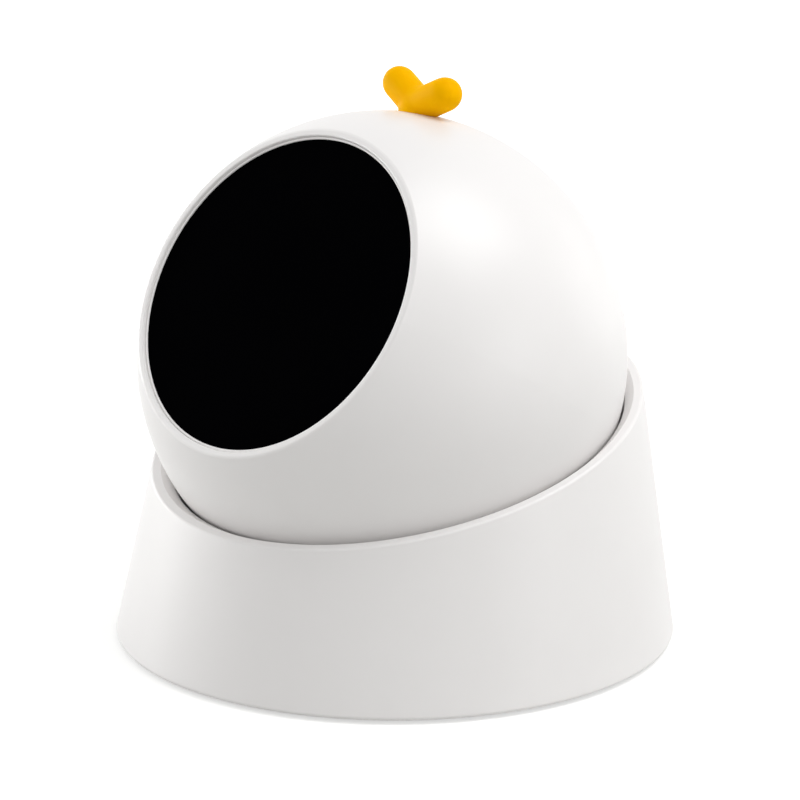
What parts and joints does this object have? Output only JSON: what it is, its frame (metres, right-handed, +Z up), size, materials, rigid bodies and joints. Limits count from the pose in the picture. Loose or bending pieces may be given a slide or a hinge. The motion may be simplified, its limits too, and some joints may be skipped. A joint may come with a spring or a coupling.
{
  "type": "automatic cat laser toy",
  "caption": "White ball head with a black round window and a small two-lobed crest, friction-held in a sloping round base; steers a laser dot for cats.",
  "frame": {"origin": "centre of the resting plane under the round base", "axes": "+Z up, the window looks towards -Y, +X to the right when seen from the front"},
  "size_m": [0.0898, 0.0897, 0.0902],
  "materials": {
    "white_abs": "satin moulded ABS",
    "foot_rubber": "matt",
    "screw_steel": "zinc plated",
    "board_laminate": "green solder mask",
    "socket_steel": "nickel plated",
    "black_nylon": "matt moulded",
    "cream_nylon": "natural moulded",
    "clear_acrylic": "clear polished",
    "cell_foil": "laminated foil",
    "grey_acetal": "moulded acetal",
    "spring_steel": "hardened strip",
    "brass": "turned",
    "crest_silicone": "soft matt silicone",
    "window_acrylic": "smoked acrylic",
    "black_foam": "adhesive foam",
    "black_abs": "matt moulded",
    "motor_can": "plated can"
  },
  "bodies": {
    "base": {"base_shell": "white_abs", "socket_cup": "white_abs", "base_plate": "white_abs", "rubber_feet": "foot_rubber", "shell_screws": "screw_steel", "cup_screws": "screw_steel", "control_board": "board_laminate", "board_screws": "screw_steel", "usb_c_socket": "socket_steel", "tact_switch": "black_nylon", "light_pipe": "clear_acrylic", "status_led": "clear_acrylic", "controller_chip": "black_nylon", "board_parts": "black_nylon", "battery_plug": "cream_nylon", "battery_pouch": "cell_foil"},
    "mode_button": {"mode_button": "white_abs"},
    "swivel": {"swivel_post": "grey_acetal", "inner_saddle": "grey_acetal", "disc_springs": "spring_steel", "clamp_nut": "brass", "thrust_washer": "cream_nylon", "retaining_ring": "spring_steel"},
    "head": {"head_shell": "white_abs", "crest": "crest_silicone", "window_disc": "window_acrylic", "window_gasket": "black_foam", "head_chassis": "black_abs", "chassis_screws": "screw_steel", "head_board": "board_laminate", "pan_motor": "motor_can"},
    "laser_yoke": {"laser_yoke": "grey_acetal", "pan_gear": "cream_nylon", "tilt_motor": "motor_can"},
    "pan_pinion": {"pan_pinion": "brass"},
    "laser_cradle": {"laser_cradle": "grey_acetal", "laser_barrel": "brass", "laser_lens": "clear_acrylic", "tilt_gear": "cream_nylon"},
    "tilt_pinion": {"tilt_pinion": "brass"}
  },
  "joints": [
    {"name": "head_pan", "type": "hinge", "parent": "base", "child": "swivel", "pos_m": [0, -0.00284, 0.04588], "axis": [0, -0.2588, 0.9659], "range_deg": [-45, 45]},
    {"name": "head_tilt", "type": "hinge", "parent": "swivel", "child": "head", "pos_m": [0, -0.00284, 0.04588], "axis": [1, 0, 0], "range_deg": [-15, 18]},
    {"name": "laser_pan", "type": "hinge", "parent": "head", "child": "laser_yoke", "pos_m": [0, -0.00795, 0.04903], "axis": [0, 0.524, 0.8517], "range_deg": [-30, 30]},
    {"name": "pan_pinion_spin", "type": "hinge", "parent": "head", "child": "pan_pinion", "pos_m": [0, 0.00319, 0.04217], "axis": [0, 0.524, 0.8517], "range_deg": [-101, 101]},
    {"name": "laser_tilt", "type": "hinge", "parent": "laser_yoke", "child": "laser_cradle", "pos_m": [0, -0.00638, 0.05158], "axis": [1, 0, 0], "range_deg": [-18, 18]},
    {"name": "tilt_pinion_spin", "type": "hinge", "parent": "laser_yoke", "child": "tilt_pinion", "pos_m": [0, -0.00381, 0.0408], "axis": [1, 0, 0], "range_deg": [-49, 49]},
    {"name": "button_press", "type": "slide", "parent": "base", "child": "mode_button", "axis": [0, -1, 0], "range_m": [0, 0.0005], "stiffness_N_per_m": 800}
  ],
  "couplings": [
    {"joint": "pan_pinion_spin", "follows": "laser_pan", "ratio": -3.3333},
    {"joint": "tilt_pinion_spin", "follows": "laser_tilt", "ratio": -2.6667}
  ]
}
